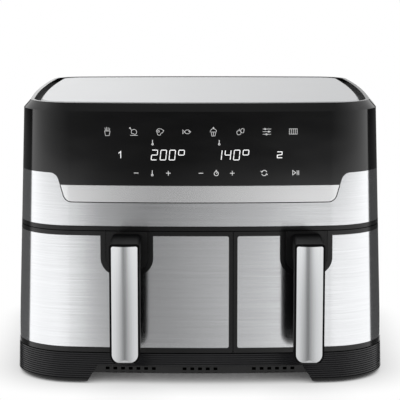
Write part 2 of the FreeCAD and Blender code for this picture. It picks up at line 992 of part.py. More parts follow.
def make_motor(bay):
    body = upright_rod(bay["centre"], y_fan, z_chamber_top, z_motor_top, motor_radius)
    bore = upright_rod(
        bay["centre"], y_fan, z_chamber_top - overshoot, z_motor_top + overshoot,
        shaft_radius + shaft_clearance,
    )
    return body.cut(bore)


# Rotor of one bay: shaft with the convection fan below the roof and the cooling fan on top
def bladed_wheel(bay, radius, z_disc, blade_height, blades_below):
    """Thin disc with upright blades and a hub that grips the shaft."""
    x = bay["centre"]
    z_low = z_disc - blade_height if blades_below else z_disc
    z_high = z_disc + fan_sheet if blades_below else z_disc + fan_sheet + blade_height
    disc = upright_rod(x, y_fan, z_disc, z_disc + fan_sheet, radius)
    hub = upright_rod(x, y_fan, z_low, z_high, fan_hub_radius)
    solids = [disc, hub]
    for index in range(fan_blade_count):
        blade = box(
            x + fan_hub_radius * 2, x + radius, y_fan - fan_sheet / 2, y_fan + fan_sheet / 2,
            z_low, z_high,
        )
        blade.rotate(point(x, y_fan), point(0, 0, 1), 360 / fan_blade_count * index)
        solids.append(blade)
    bore = upright_rod(x, y_fan, z_low - overshoot, z_high + overshoot, shaft_radius + shaft_clearance)
    return joined(solids).cut(bore)


def make_rotor(bay):
    shaft = upright_rod(
        bay["centre"], y_fan, z_fan_top - fan_blade_height, z_cooler + fan_blade_height, shaft_radius)
    z_disc = z_fan_top - fan_sheet
    fan = bladed_wheel(bay, bay["fan_radius"], z_disc, fan_blade_height, True)
    cooler = bladed_wheel(bay, cooler_radius, z_cooler, fan_blade_height - fan_sheet, False)
    return shaft, fan, cooler


# Drawer of one bay: steel bowl on a flange, bracket, black front with a steel skin, handle
def bowl_rectangle(bay, inset):
    return rectangle(
        bay["low"] + bay_clearance + inset, bay["high"] - bay_clearance - inset,
        y_bowl_front + inset, y_bowl_rear - inset, bowl_corner_round - inset,
    )


def bowl_taper(z):
    """How much narrower the tapered bowl is on each side at height z."""
    return bowl_draft * (z_bowl_high - z) / (z_bowl_high - z_bowl_low)


def bowl_tub(bay, wall, z_low, round_radius):
    """Tapered tub with a rounded bottom edge."""
    wires = []
    for step in range(bowl_round_steps + 1):
        angle = math.pi / 2 * step / bowl_round_steps
        z = z_low + round_radius * (1 - math.cos(angle))
        inset = bowl_flange + bowl_taper(z) + wall + round_radius * (1 - math.sin(angle))
        wires.append(plan_wire(bowl_rectangle(bay, inset), z))
    wires.append(plan_wire(bowl_rectangle(bay, bowl_flange + wall), z_bowl_high))
    return Part.makeLoft(wires, True, True)


def make_bowl(bay):
    outer = bowl_tub(bay, 0.0, z_bowl_low, bowl_bottom_round)
    inner = bowl_tub(bay, bowl_wall, z_bowl_low + bowl_wall, bowl_bottom_round - bowl_wall)
    flange = plan_prism(bowl_rectangle(bay, 0.0), z_bowl_high - bowl_flange_thickness, z_bowl_high)
    return outer.fuse(flange).cut(inner), outer


def handle_screw_columns(bay):
    return (bay["centre"] - handle_screw_spacing / 2, bay["centre"] + handle_screw_spacing / 2)


z_grip_top = z_drawer_high - grip_top_margin
z_grip_low = z_grip_top - grip_length
z_screw = z_grip_top - neck_height / 2


def handle_screw_rods(bay, radius, y_low, y_high):
    return [level_rod(x, z_screw, y_low, y_high, radius) for x in handle_screw_columns(bay)]


def make_bracket(bay, bowl_outer):
    z_high = z_bowl_high - bowl_flange_thickness - bracket_rim_gap
    block = box(
        bay["centre"] - bracket_half_width, bay["centre"] + bracket_half_width,
        y_far_front, y_chamber, z_high - bracket_height, z_high,
    )
    inside = form(drawer_front_thickness, z_base_top, z_drawer_high)
    holes = handle_screw_rods(bay, handle_screw_head_radius + fit_gap, y_far_front, y_chamber)
    return block.common(inside).cut([bowl_outer] + holes)


def surround_profile(bay, inset):
    """Plate round the handle: straight sides, rounded bottom, open at the top."""
    half = surround_half_width - inset
    low = z_drawer_high - surround_depth + inset
    round_radius = surround_round - inset
    return [
        (bay["centre"] - half, low, round_radius), (bay["centre"] + half, low, round_radius),
        (bay["centre"] + half, z_rim, 0), (bay["centre"] - half, z_rim, 0),
    ]


def make_drawer_front(bay):
    y_end = y_seam - panel_gap
    zone = box(
        bay["front_low"], bay["front_high"], y_far_front, y_end, z_drawer_low, z_drawer_high)
    skin_profile = rectangle(
        bay["skin_low"], bay["skin_high"],
        z_drawer_low + border_low, z_drawer_high - border_high, skin_corner_round,
    )
    surround = front_prism(surround_profile(bay, 0.0), y_far_front, y_seam)
    skin_zone = front_prism(skin_profile, y_far_front, y_end - border_side).cut(surround)
    skin = layer(0.0, steel_sheet, z_drawer_low, z_drawer_high).common(skin_zone)

    mount_zone = front_prism(
        surround_profile(bay, surround_border + surround_groove), y_far_front, y_seam)
    mount = layer(-mount_proud, mount_depth, z_drawer_low, z_drawer_high).common(mount_zone)
    pocket_zone = front_prism(surround_profile(bay, surround_border), y_far_front, y_seam)
    pocket = layer(-overshoot, mount_depth, z_drawer_low - overshoot, z_drawer_high + overshoot)
    pocket = pocket.common(pocket_zone)

    holes = handle_screw_rods(bay, handle_screw_radius + fit_gap, y_far_front, y_chamber)
    front = layer(0.0, drawer_front_thickness, z_drawer_low, z_drawer_high).common(zone)
    return front.cut([skin, pocket] + holes), skin, mount.cut(holes)


def make_grip(bay):
    x_low = bay["centre"] - grip_width / 2
    x_high = bay["centre"] + grip_width / 2
    y_back = y_handle + grip_thickness
    y_root = y_chamber
    side_profile = [
        (y_handle, z_grip_low, grip_edge_round),
        (y_handle, z_grip_top, grip_shoulder_round),
        (y_root, z_grip_top, 0),
        (y_root, z_grip_top - neck_height, 0),
        (y_back, z_grip_top - neck_height, neck_inner_round),
        (y_back, z_grip_low, grip_edge_round),
    ]
    front_profile = [
        (x_low, z_grip_low, grip_corner_round), (x_high, z_grip_low, grip_corner_round),
        (x_high, z_grip_top, grip_top_round), (x_low, z_grip_top, grip_top_round),
    ]
    blank = side_prism(side_profile, x_low, x_high)
    blank = blank.common(front_prism(front_profile, y_handle, y_root))
    drum = upright_rod(
        bay["centre"], y_handle + grip_front_radius, z_grip_low, z_grip_top, grip_front_radius)
    nose = box(x_low, x_high, y_handle, y_back - grip_soft_edge, z_grip_low, z_grip_top).cut(drum)
    mount_face = form(-mount_proud, z_base_top, z_drawer_high)
    holes = handle_screw_rods(
        bay, handle_screw_radius + fit_gap, y_front - handle_screw_length, y_root)

    facing_profile = [
        (x_low + facing_border, z_grip_low + facing_border, grip_corner_round - facing_border),
        (x_high - facing_border, z_grip_low + facing_border, grip_corner_round - facing_border),
        (x_high - facing_border, z_grip_top - facing_top_margin, grip_top_round - facing_border),
        (x_low + facing_border, z_grip_top - facing_top_margin, grip_top_round - facing_border),
    ]
    inner_drum = upright_rod(
        bay["centre"], y_handle + grip_front_radius, z_grip_low, z_grip_top,
        grip_front_radius - facing_thickness,
    )
    facing_zone = front_prism(facing_profile, y_handle, y_back)
    shaped = blank.cut(nose)
    facing = drum.cut(inner_drum).common(facing_zone).common(shaped)
    grip = shaped.cut([mount_face, facing] + holes)
    return grip, facing


def make_handle_screws(bay):
    screws = []
    for x in handle_screw_columns(bay):
        seat = front_y(
            abs(x) + handle_screw_head_radius, z_screw + handle_screw_head_radius,
            drawer_front_thickness,
        )
        shank = level_rod(x, z_screw, seat - handle_screw_length, seat, handle_screw_radius)
        head = level_rod(
            x, z_screw, seat, seat + handle_screw_head_height, handle_screw_head_radius)
        screws.append(shank.fuse(head).removeSplitter())
    return Part.makeCompound(screws)


# Grill plate of one bay: slotted plate standing on four soft bumpers
z_bowl_floor = z_bowl_low + bowl_wall
z_plate = z_bowl_floor + runner_gap + plate_leg_height


def plate_rectangle(bay):
    return bowl_rectangle(bay, bowl_flange + bowl_taper(z_plate) + bowl_wall + plate_clearance)


def bumper_spots(bay):
    corners = plate_rectangle(bay)
    spots = []
    for x in (corners[0][0] + bumper_inset, corners[1][0] - bumper_inset):
        for y in (corners[0][1] + bumper_inset, corners[2][1] - bumper_inset):
            spots.append((x, y))
    return spots


def make_grill_plate(bay):
    corners = plate_rectangle(bay)
    x_low = corners[0][0] + plate_margin
    x_high = corners[1][0] - plate_margin
    y_low = corners[0][1] + plate_margin
    y_high = corners[2][1] - plate_margin
    plate = plan_prism(corners, z_plate, z_plate + plate_thickness)
    slots = []
    for x in spread(x_low, x_high, plate_slot_width, plate_slot_pitch_x):
        for y in spread(y_low, y_high, plate_slot_length, plate_slot_pitch_y):
            slots.append(box(
                x - plate_slot_width / 2, x + plate_slot_width / 2,
                y - plate_slot_length / 2, y + plate_slot_length / 2,
                z_plate - overshoot, z_plate + plate_thickness + overshoot,
            ))
    return plate.cut(slots)


def make_plate_bumpers(bay):
    bumpers = []
    for x, y in bumper_spots(bay):
        bumpers.append(upright_rod(x, y, z_bowl_floor + runner_gap, z_plate, bumper_radius))
    return Part.makeCompound(bumpers)


for side, bay in bays.items():
    pieces["chamber_" + side] = make_chamber(bay)
    pieces["rails_" + side] = make_rails(bay)
    pieces["guard_" + side] = make_guard(bay)
    pieces["heater_" + side] = make_heater(bay)
    pieces["duct_" + side] = make_duct(bay)
    pieces["motor_" + side] = make_motor(bay)
    shaft, fan, cooler = make_rotor(bay)
    pieces["shaft_" + side] = shaft
    pieces["fan_" + side] = fan
    pieces["cooler_" + side] = cooler
    bowl, bowl_outer = make_bowl(bay)
    pieces["bowl_" + side] = bowl
    pieces["bracket_" + side] = make_bracket(bay, bowl_outer)
    front, skin, mount = make_drawer_front(bay)
    pieces["drawer_front_" + side] = front
    pieces["drawer_skin_" + side] = skin
    pieces["handle_mount_" + side] = mount
    grip, facing = make_grip(bay)
    pieces["handle_grip_" + side] = grip
    pieces["handle_facing_" + side] = facing
    pieces["handle_screws_" + side] = make_handle_screws(bay)
    pieces["grill_plate_" + side] = make_grill_plate(bay)
    pieces["plate_bumpers_" + side] = make_plate_bumpers(bay)


# Probes through the rear chamber walls, and the power board on the roof of the wide chamber
def make_probes():
    probes = []
    for bay in bays.values():
        y_high = y_chamber_rear + chamber_sheet + probe_length / 3
        probes.append(level_rod(bay["centre"], z_probe, y_high - probe_length, y_high, probe_radius))
    return Part.makeCompound(probes)


def make_power_board():
    x_low = bays["left"]["centre"] - power_board_width / 2
    x_high = x_low + power_board_width
    y_high = y_chamber_rear - power_board_rear_gap
    y_low = y_high - power_board_depth
    z_low = z_chamber_top + power_post_height
    z_high = z_low + board_thickness
    solids = [box(x_low, x_high, y_low, y_high, z_low, z_high)]
    for x in (x_low + post_margin, x_high - post_margin):
        for y in (y_low + post_margin, y_high - post_margin):
            solids.append(upright_rod(x, y, z_chamber_top, z_low, post_radius))
    y_row = y_low + post_margin
    solids.append(box(
        x_low + post_margin, x_low + post_margin + transformer_size,
        y_row, y_row + transformer_size, z_high, z_high + transformer_size,
    ))
    for index in range(2):
        x_relay = x_high - post_margin - relay_size - index * (relay_size + post_margin)
        solids.append(box(
            x_relay, x_relay + relay_size, y_row, y_row + relay_size, z_high, z_high + relay_size))
    return Part.makeCompound(solids)


pieces["temperature_probes"] = make_probes()
pieces["power_board"] = make_power_board()

for name, shape in pieces.items():
    shape.exportStep("parts/" + name + ".step")
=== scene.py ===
import json
import math

import bmesh
import bpy
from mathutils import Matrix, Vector
from mathutils.bvhtree import BVHTree
from mathutils.geometry import intersect_sphere_sphere_2d


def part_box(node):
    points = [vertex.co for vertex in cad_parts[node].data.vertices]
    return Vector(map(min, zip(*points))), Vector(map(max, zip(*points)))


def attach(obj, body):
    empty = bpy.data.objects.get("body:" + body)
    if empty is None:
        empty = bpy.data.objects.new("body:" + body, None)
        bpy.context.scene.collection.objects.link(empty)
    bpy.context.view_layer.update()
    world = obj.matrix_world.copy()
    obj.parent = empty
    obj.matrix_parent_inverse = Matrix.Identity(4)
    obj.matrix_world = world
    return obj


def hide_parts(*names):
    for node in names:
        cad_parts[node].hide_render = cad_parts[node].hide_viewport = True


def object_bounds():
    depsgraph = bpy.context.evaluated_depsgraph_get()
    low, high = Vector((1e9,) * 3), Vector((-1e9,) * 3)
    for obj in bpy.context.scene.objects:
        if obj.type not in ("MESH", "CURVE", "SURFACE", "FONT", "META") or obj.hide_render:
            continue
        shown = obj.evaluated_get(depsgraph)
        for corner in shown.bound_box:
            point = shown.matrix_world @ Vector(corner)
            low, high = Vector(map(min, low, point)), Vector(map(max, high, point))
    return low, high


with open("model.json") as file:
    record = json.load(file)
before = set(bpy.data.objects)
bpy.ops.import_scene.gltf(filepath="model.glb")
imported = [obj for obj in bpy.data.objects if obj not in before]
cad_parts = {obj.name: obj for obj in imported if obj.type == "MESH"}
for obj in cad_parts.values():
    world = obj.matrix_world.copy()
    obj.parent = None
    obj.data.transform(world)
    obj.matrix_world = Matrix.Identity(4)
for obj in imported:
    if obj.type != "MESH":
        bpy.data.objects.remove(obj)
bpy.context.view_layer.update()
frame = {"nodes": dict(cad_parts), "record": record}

nodes = frame["nodes"]
mm = 0.001

# Camera, in metres and degrees: straight ahead of the front, a little above the top
camera_distance = 1.8365
camera_height = 0.4403
camera_pitch = 8.51
focal_length = 150.95
sensor_width = 36.0
farthest_seen = 20.0

# Body outline in plan, in metres: bowed front and sides with round corners, walls leaning inwards
front_bow_radius = 1.2
side_bow_radius = 2.4
corner_radius = 0.066
front_depth = -0.1705
side_middle_depth = 0.027
half_width = 0.195
wall_lean = math.radians(1.9)
front_centre = Vector((0.0, front_depth + front_bow_radius))
side_centre = Vector((half_width - side_bow_radius, side_middle_depth))
corner_centre = max(intersect_sphere_sphere_2d(
    front_centre, front_bow_radius - corner_radius, side_centre, side_bow_radius - corner_radius,
), key=lambda spot: spot.x)

# Likeness of a face's own normal to the wall's, above which it counts as part of the wall
wall_likeness = 0.97

# Panel marks: rows of heights and columns across, in millimetres
picture_row = 258.9
pointer_row = 248.1
number_row = 235.5
key_row = 217.2
picture_columns = (-93.2, -66.8, -40.1, -13.2, 13.5, 40.6, 67.2, 93.8)
pointer_columns = (-47.7, 19.3)
zone_columns = (-80.4, 80.2)
minus_columns = (-64.3, 1.0)
plus_columns = (-31.9, 32.5)
temperature_key_column = -48.1
timer_key_column = 16.4
link_key_column = 64.7
start_key_column = 96.9
picture_size = 4.4
sign_size = 4.2
pointer_size = 2.7
key_size = 3.0
wide_key_size = 3.6
zone_size = 4.0
picture_line = 0.4
key_line = 0.65
number_line = 0.8
digit_width = 5.7
digit_height = 9.9
digit_pitch = 9.0
digit_slant = 0.1
bar_gap = 0.25
display_starts = (-49.2, 15.6)
mark_thickness = 0.12
sharpest_mitre = 0.5

# Distance in metres ahead of the console from which its face is looked for
console_gap = 0.05

# Strip, with a thin dark ribbon of painted shade along its seam, in millimetres
strip_lean = 0.305
strip_round = 9.0
seam_width = 0.3
strip_shade_width = 0.95
strip_shade_steps = 14

# Screws: segments round each one, its thread in millimetres, and its cross recess as shares of the head
screw_segments = 32
thread_pitch = 0.8
thread_depth = 0.25
head_profile = ((1.0, 0.0), (1.0, 0.45), (0.94, 0.7), (0.8, 0.88), (0.55, 0.97), (0.0, 1.0))
recess_reach = 0.55
recess_width = 0.22
recess_depth = 0.5
recess_taper = 0.65

# Reading a screw from its solid, in millimetres: points beyond head_edge, a share of its radius, are on the
# rim of its head, those shank_start further in are on its shank, and points within same_point are one
head_edge = 0.9
shank_start = 1.0
same_point = 0.001

# Height in millimetres by which a cutter stands out of the head
cutter_rise = 1.0

# Heights at which a finish changes, in metres: top of the groove round the top plate, top of the dark seam
# over the base, below which plastic loses its sheen as painted shade, and top of the power board above the
# foot of its posts
groove_height = 0.2865
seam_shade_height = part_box("base_skirt")[1].z + 1.3 * mm
board_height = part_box("power_board")[0].z + 9.7 * mm

# Brushed metal: streaks per metre along its grain and across it, and coarser streaks as a share of them
grain_along = 14.0
grain_across = 1700.0
coarse_grain = 0.6

# Gloss black: upward part of a level face's normal, roughness added to level and to dull faces, and sheen
level_limit = 0.9
level_roughness = 0.14
dull_roughness = 0.4
gloss_sheen = 0.5
dull_sheen = 0.1

# Ribs: sheen of their upper faces, and the upward parts of the normal between which it comes in, lower
# faces left without it as painted shade
rib_sheen = 0.5
rib_turn = (-0.15, 0.3)

# Floor: its margin round the object and the reach of its contact shadow, in metres, how soft and how deep
# that shadow is, and the share of the floor's reach where its border starts to fade to white
floor_colour = (0.8, 0.8, 0.8, 1.0)
floor_roughness = 0.9
floor_margin = 0.065
shadow_reach = 0.055
shadow_softness = 0.5
shadow_depth = 0.075
shadow_samples = 16
border_start = 0.92
white = (1.0, 1.0, 1.0, 1.0)

# Brightness of the surroundings by direction, in degrees from straight ahead: near the horizon,
# dipping a little below it, and low near the floor
level_steps = (
    (-180, 1.13), (-175, 1.6), (-171, 1.6), (-165, 0.05), (-110, 0.02), (-108, 1.7), (-98, 1.45),
    (-88, 1.2), (-74, 0.87), (-60, 0.63), (-45, 0.42), (-30, 0.26), (-13, 0.12), (0, 0.06), (13, 0.12),
    (30, 0.26), (45, 0.42), (60, 0.63), (74, 0.87), (88, 1.2), (98, 1.45), (108, 1.7), (110, 0.02),
    (165, 0.05), (171, 0.82), (175, 0.82), (180, 1.13),
)
dipped_steps = (
    (-180, 1.04), (-175, 1.24), (-171, 1.24), (-165, 0.12), (-110, 0.12), (-108, 1.5), (-74, 1.52),
    (-60, 1.62), (-45, 1.74), (-29, 1.78), (-17, 1.78), (-13.7, 0.72), (-6.7, 0.34), (-1.3, 0.61),
    (5, 0.86), (8.3, 1.01), (12, 1.42), (22, 1.76), (41, 1.66), (61, 1.58), (77, 1.52), (108, 1.48),
    (110, 0.08), (165, 0.08), (171, 0.85), (175, 0.85), (180, 1.04),
)
low_steps = (
    (-180, 1.04), (-165, 0.12), (-110, 0.12), (-108, 1.5), (-74, 1.45), (-55, 1.35), (-37, 1.19),
    (-20, 0.8), (-3, 0.25), (14, 0.75), (33, 1.19), (55, 1.35), (77, 1.45), (108, 1.48), (110, 0.08),
    (165, 0.08), (180, 1.04),
)
brightest = 2.0
sky_brightness = 0.85
ground_brightness = 0.6
overhead_brightness = 0.3

# Bands of the surroundings by height, from where each starts to where it is full. Heights are the upward
# part of the direction, and tilt adds the part straight ahead, where the sky also comes lower by its dip
sky_band = (0.08, 0.15)
sky_dip = 0.1
sky_dip_power = 15.0
dipped_band = (-0.06, -0.085)
low_band = (-0.16, -0.2)
ground_band = (-0.25, -0.32)
overhead_band = (0.45, 0.6)
tilt_band = (0.5, 1.1)

# Corners of a square about its middle, in order round it
square_corners = ((-1, -1), (1, -1), (1, 1), (-1, 1))

# Stretch of a pattern that is the same along each axis
even = (1.0, 1.0, 1.0)


# Node trees
class Graph:
    """Node tree of a material or the world, with short calls to add and join nodes."""

    def __init__(self, owner):
        owner.use_nodes = True
        self.owner = owner
        self.tree = owner.node_tree

    def join(self, node, inputs):
        """Links each socket to an input of the node, and sets each plain value there."""
        for key, value in inputs.items():
            if isinstance(value, bpy.types.NodeSocket):
                self.tree.links.new(value, node.inputs[key])
            else:
                node.inputs[key].default_value = value

    def add(self, kind, inputs=None, **settings):
        node = self.tree.nodes.new(kind)
        for key, value in settings.items():
            setattr(node, key, value)
        self.join(node, inputs or {})
        return node

    def give(self, **values):
        """Sets or links inputs of the surface shader; underscores stand for spaces."""
        inputs = {key.replace("_", " "): value for key, value in values.items()}
        self.join(self.tree.nodes["Principled BSDF"], inputs)

    def upward(self, kind):
        """Upward part of the Object coordinates or of the Normal."""
        place = self.add("ShaderNodeTexCoord").outputs[kind]
        return self.add("ShaderNodeSeparateXYZ", {"Vector": place}).outputs["Z"]

    def stretched(self, stretch):
        """Object coordinates stretched along each axis."""
        place = self.add("ShaderNodeTexCoord").outputs["Object"]
        return self.add("ShaderNodeMapping", {"Vector": place, "Scale": stretch}).outputs["Vector"]

    def noise(self, scale=1.0, detail=2.0, stretch=even):
        vector = self.stretched(stretch)
        return self.add(
            "ShaderNodeTexNoise", {"Vector": vector, "Scale": scale, "Detail": detail}
        ).outputs["Fac"]

    def spread(self, source, low, high, source_low=0.3, source_high=0.7):
        """Source values from source_low to source_high mapped to low to high."""
        return self.add("ShaderNodeMapRange", {
            "Value": source, "From Min": source_low, "From Max": source_high,
            "To Min": low, "To Max": high,
        }).outputs["Result"]

    def tint(self, factor, first, second):
        """Mix of two colours, each a socket or three channels."""
        inputs = {0: factor}
        for key, colour in ((6, first), (7, second)):
            inputs[key] = colour if isinstance(colour, bpy.types.NodeSocket) else (*colour, 1.0)
        return self.add("ShaderNodeMix", inputs, data_type="RGBA").outputs[2]

    def blend(self, factor, first, second):
        """Mix of two numbers, the first where the factor is 0."""
        return self.add("ShaderNodeMix", {0: factor, 2: first, 3: second}, data_type="FLOAT").outputs[0]

    def bump(self, height, distance, strength, normal=None):
        inputs = {"Height": height, "Distance": distance, "Strength": strength}
        if normal:
            inputs["Normal"] = normal
        return self.add("ShaderNodeBump", inputs).outputs["Normal"]

    def maths(self, operation, *values):
        return self.add("ShaderNodeMath", dict(enumerate(values)), operation=operation).outputs[0]

    def vectors(self, operation, *values):
        return self.add("ShaderNodeVectorMath", dict(enumerate(values)), operation=operation)

    def either(self, chosen, first, second):
        """First vector where chosen is 0, second where it is 1."""
        inputs = {0: chosen, 4: first, 5: second}
        return self.add("ShaderNodeMix", inputs, data_type="VECTOR").outputs[1]

    def wall_normal(self):
        """True normal of the bowed, leaning wall; faces turned away from it keep their own."""
        place = self.add("ShaderNodeTexCoord").outputs["Object"]
        parts = self.add("ShaderNodeSeparateXYZ", {"Vector": place}).outputs
        across = self.maths("ABSOLUTE", parts["X"])
        spot = self.add("ShaderNodeCombineXYZ", {"X": across, "Y": parts["Y"]}).outputs[0]

        def on_bow(bow_centre, turn):
            """1 where the spot lies on this bow, before the line through its centre and the corner's."""
            chord = (corner_centre - bow_centre) * turn
            offset = self.vectors("SUBTRACT", spot, (*bow_centre, 0.0)).outputs[0]
            side = self.vectors("DOT_PRODUCT", offset, (-chord.y, chord.x, 0.0)).outputs["Value"]
            return self.maths("GREATER_THAN", side, 0.0)

        centre = self.either(on_bow(front_centre, -1), (*corner_centre, 0.0), (*front_centre, 0.0))
        centre = self.either(on_bow(side_centre, 1), centre, (*side_centre, 0.0))
        outwards = self.vectors("NORMALIZE", self.vectors("SUBTRACT", spot, centre).outputs[0]).outputs[0]
        out = self.add("ShaderNodeSeparateXYZ", {"Vector": outwards}).outputs
        sideward = self.maths("MULTIPLY", out["X"], self.maths("SIGN", parts["X"]))
        tilted = self.add("ShaderNodeCombineXYZ", {
            "X": sideward, "Y": out["Y"], "Z": math.tan(wall_lean),
        }).outputs[0]
        wall = self.vectors("NORMALIZE", tilted).outputs[0]
        wall = self.add(
            "ShaderNodeVectorTransform", {0: wall},
            vector_type="NORMAL", convert_from="OBJECT", convert_to="WORLD",
        ).outputs[0]
        own = self.add("ShaderNodeNewGeometry").outputs["Normal"]
        likeness = self.vectors("DOT_PRODUCT", own, wall).outputs["Value"]
        return self.either(self.maths("GREATER_THAN", likeness, wall_likeness), own, wall)


def material_graph(name):
    return Graph(bpy.data.materials.new(name))


def shaded(colour, share):
    return [channel * share for channel in colour]


# Materials: each function makes one, with its colour, roughness and relief from nodes
def moulded_plastic(
    name, roughness, grain, on_wall=False, ribbed=False, black=0.0035, shade_below=0.0, relief=0.00003, sheen=0.35,
):
    """Moulded black plastic, pebbled, with faint uneven sheen; painted shade dulls rib undersides and faces
    below a seam.
    """
    graph = material_graph(name)
    # Painted shade: no sheen below the seam, so the gap over the base reads dark
    if shade_below:
        sheen = graph.maths("MULTIPLY", graph.maths("GREATER_THAN", graph.upward("Object"), shade_below), sheen)
    # Painted shade: sheen fades out on faces turned down, so the lower faces of the ribs read dark
    if ribbed:
        sheen = graph.spread(graph.upward("Normal"), 0.0, rib_sheen, *rib_turn)
    normal = graph.wall_normal() if on_wall else None
    pebbles = graph.noise(scale=grain, detail=3.0)
    cloud = graph.noise(scale=18.0)
    deep = (black, black, black * 1.08)
    graph.give(
        Base_Color=graph.tint(cloud, deep, shaded(deep, 1.4)),
        Roughness=graph.spread(cloud, roughness - 0.05, roughness + 0.05),
        Specular_IOR_Level=sheen,
        Normal=graph.bump(pebbles, distance=relief, strength=0.4, normal=normal),
    )
    return graph.owner


def gloss_plastic(name, matte_height=0.0):
    """High-gloss black with wiping haze; level faces are dull below a matte height and satin above it."""
    graph = material_graph(name)
    haze = graph.noise(scale=5.0, detail=3.0, stretch=(3.0, 3.0, 9.0))
    ripple = graph.noise(scale=40.0, detail=1.0)
    roughness = graph.spread(haze, 0.07, 0.11)
    sheen = gloss_sheen
    if matte_height:
        level = graph.maths("GREATER_THAN", graph.upward("Normal"), level_limit)
        sunken = graph.maths("LESS_THAN", graph.upward("Object"), matte_height)
        dull = graph.maths("MULTIPLY", level, sunken)
        satin = graph.maths("MULTIPLY_ADD", level, level_roughness, roughness)
        roughness = graph.maths("MULTIPLY_ADD", dull, dull_roughness, satin)
        sheen = graph.spread(dull, gloss_sheen, dull_sheen, 0.0, 1.0)
    graph.give(
        Base_Color=graph.tint(haze, (0.003, 0.003, 0.0032), (0.0042, 0.0042, 0.0045)),
        Roughness=roughness,
        Specular_IOR_Level=sheen,
        Normal=graph.bump(ripple, distance=0.00002, strength=0.05, normal=graph.wall_normal()),
    )
    return graph.owner


def brushed_metal(name, across, colour, roughness, on_wall=False):
    """Metal with fine straight grain; across is the direction at right angles to the grain."""
    graph = material_graph(name)
    grain = [grain_along + (grain_across - grain_along) * share for share in across]
    fine = graph.noise(detail=3.0, stretch=grain)
    coarse = graph.noise(stretch=[streaks * coarse_grain for streaks in grain])
    normal = graph.wall_normal() if on_wall else None
    tangent = graph.add("ShaderNodeCombineXYZ", dict(enumerate(across))).outputs[0]
    graph.give(
        Base_Color=graph.tint(graph.spread(coarse, 0.0, 1.0), shaded(colour, 0.95), colour),
        Metallic=1.0,
        Roughness=graph.spread(fine, roughness - 0.03, roughness + 0.03),
        Anisotropic=0.8,
        Tangent=tangent,
        Normal=graph.bump(fine, distance=0.00002, strength=0.4, normal=normal),
    )
    return graph.owner


def satin_paint(name, colour, roughness):
    """Smooth silver lacquer with fine flakes."""
    graph = material_graph(name)
    flakes = graph.noise(scale=2600.0, detail=1.0)
    cloud = graph.noise(scale=12.0)
    graph.give(
        Base_Color=graph.tint(graph.spread(flakes, 0.0, 1.0), shaded(colour, 0.94), colour),
        Metallic=1.0,
        Roughness=graph.spread(cloud, roughness - 0.02, roughness + 0.02),
        Normal=graph.bump(flakes, distance=0.000004, strength=0.2, normal=graph.wall_normal()),
    )
    return graph.owner


def soft_rubber(name, colour, roughness):
    """Rubber with a dusty bloom and fine grain."""
    graph = material_graph(name)
    bloom = graph.noise(scale=90.0, detail=4.0)
    graph.give(
        Base_Color=graph.tint(bloom, colour, shaded(colour, 1.8)),
        Roughness=graph.spread(bloom, roughness - 0.08, roughness + 0.08),
        Normal=graph.bump(bloom, distance=0.0001, strength=0.4),
    )
    return graph.owner


def speckled_coating():
    """Dark non-stick coating with pale flecks."""
    graph = material_graph("nonstick")
    flecks = graph.add("ShaderNodeTexVoronoi", {
        "Vector": graph.stretched(even), "Scale": 420.0,
    }).outputs["Distance"]
    cloud = graph.noise(scale=25.0, detail=3.0)
    fleck_mask = graph.spread(flecks, 1.0, 0.0, 0.08, 0.16)
    graph.give(
        Base_Color=graph.tint(fleck_mask, (0.022, 0.022, 0.024), (0.16, 0.16, 0.165)),
        Roughness=graph.spread(cloud, 0.3, 0.45),
        Specular_IOR_Level=0.6,
        Normal=graph.bump(flecks, distance=0.00008, strength=0.25),
    )
    return graph.owner


def zinc_sheet():
    """Zinc-coated sheet with crystal patches."""
    graph = material_graph("sheet_steel")
    cells = graph.add("ShaderNodeTexVoronoi", {
        "Vector": graph.stretched(even), "Scale": 110.0,
    }).outputs["Color"]
    shade = graph.add("ShaderNodeSeparateColor", {"Color": cells}).outputs["Red"]
    streak = graph.noise(stretch=(6.0, 6.0, 300.0))
    graph.give(
        Base_Color=graph.tint(shade, (0.4, 0.41, 0.42), (0.6, 0.61, 0.62)),
        Metallic=1.0,
        Roughness=graph.spread(shade, 0.32, 0.5, 0.0, 1.0),
        Normal=graph.bump(streak, distance=0.00004, strength=0.3),
    )
    return graph.owner


def heated_tube():
    """Heating tube darkened by heat, straw to blue in patches."""
    graph = material_graph("heater_steel")
    patches = graph.noise(scale=30.0, detail=3.0)
    pits = graph.noise(scale=900.0, detail=4.0)
    graph.give(
        Base_Color=graph.tint(graph.spread(patches, 0.0, 1.0), (0.16, 0.12, 0.08), (0.1, 0.105, 0.13)),
        Metallic=0.8,
        Roughness=graph.spread(pits, 0.42, 0.6),
        Normal=graph.bump(pits, distance=0.00005, strength=0.4),
    )
    return graph.owner


def painted_casting():
    """Grey painted motor casing with a light orange-peel texture."""
    graph = material_graph("motor_grey")
    peel = graph.noise(scale=450.0)
    cloud = graph.noise(scale=20.0)
    graph.give(
        Base_Color=graph.tint(cloud, (0.2, 0.2, 0.21), (0.28, 0.28, 0.29)),
        Roughness=graph.spread(cloud, 0.42, 0.55),
        Normal=graph.bump(peel, distance=0.0001, strength=0.3),
    )
    return graph.owner


def plated_steel():
    """Bright plated steel with faint turning marks."""
    graph = material_graph("bright_steel")
    turning = graph.noise(stretch=(400.0, 400.0, 400.0))
    graph.give(
        Base_Color=graph.tint(turning, (0.58, 0.58, 0.57), (0.72, 0.72, 0.71)),
        Metallic=1.0,
        Roughness=graph.spread(turning, 0.16, 0.3),
        Normal=graph.bump(turning, distance=0.00002, strength=0.3),
    )
    return graph.owner


def pressed_aluminium():
    """Pressed sheet aluminium with rolling streaks."""
    graph = material_graph("fan_aluminium")
    streak = graph.noise(stretch=(14.0, 700.0, 14.0))
    graph.give(
        Base_Color=graph.tint(streak, (0.58, 0.59, 0.6), (0.74, 0.75, 0.76)),
        Metallic=1.0,
        Roughness=graph.spread(streak, 0.28, 0.42),
        Normal=graph.bump(streak, distance=0.00003, strength=0.3),
    )
    return graph.owner


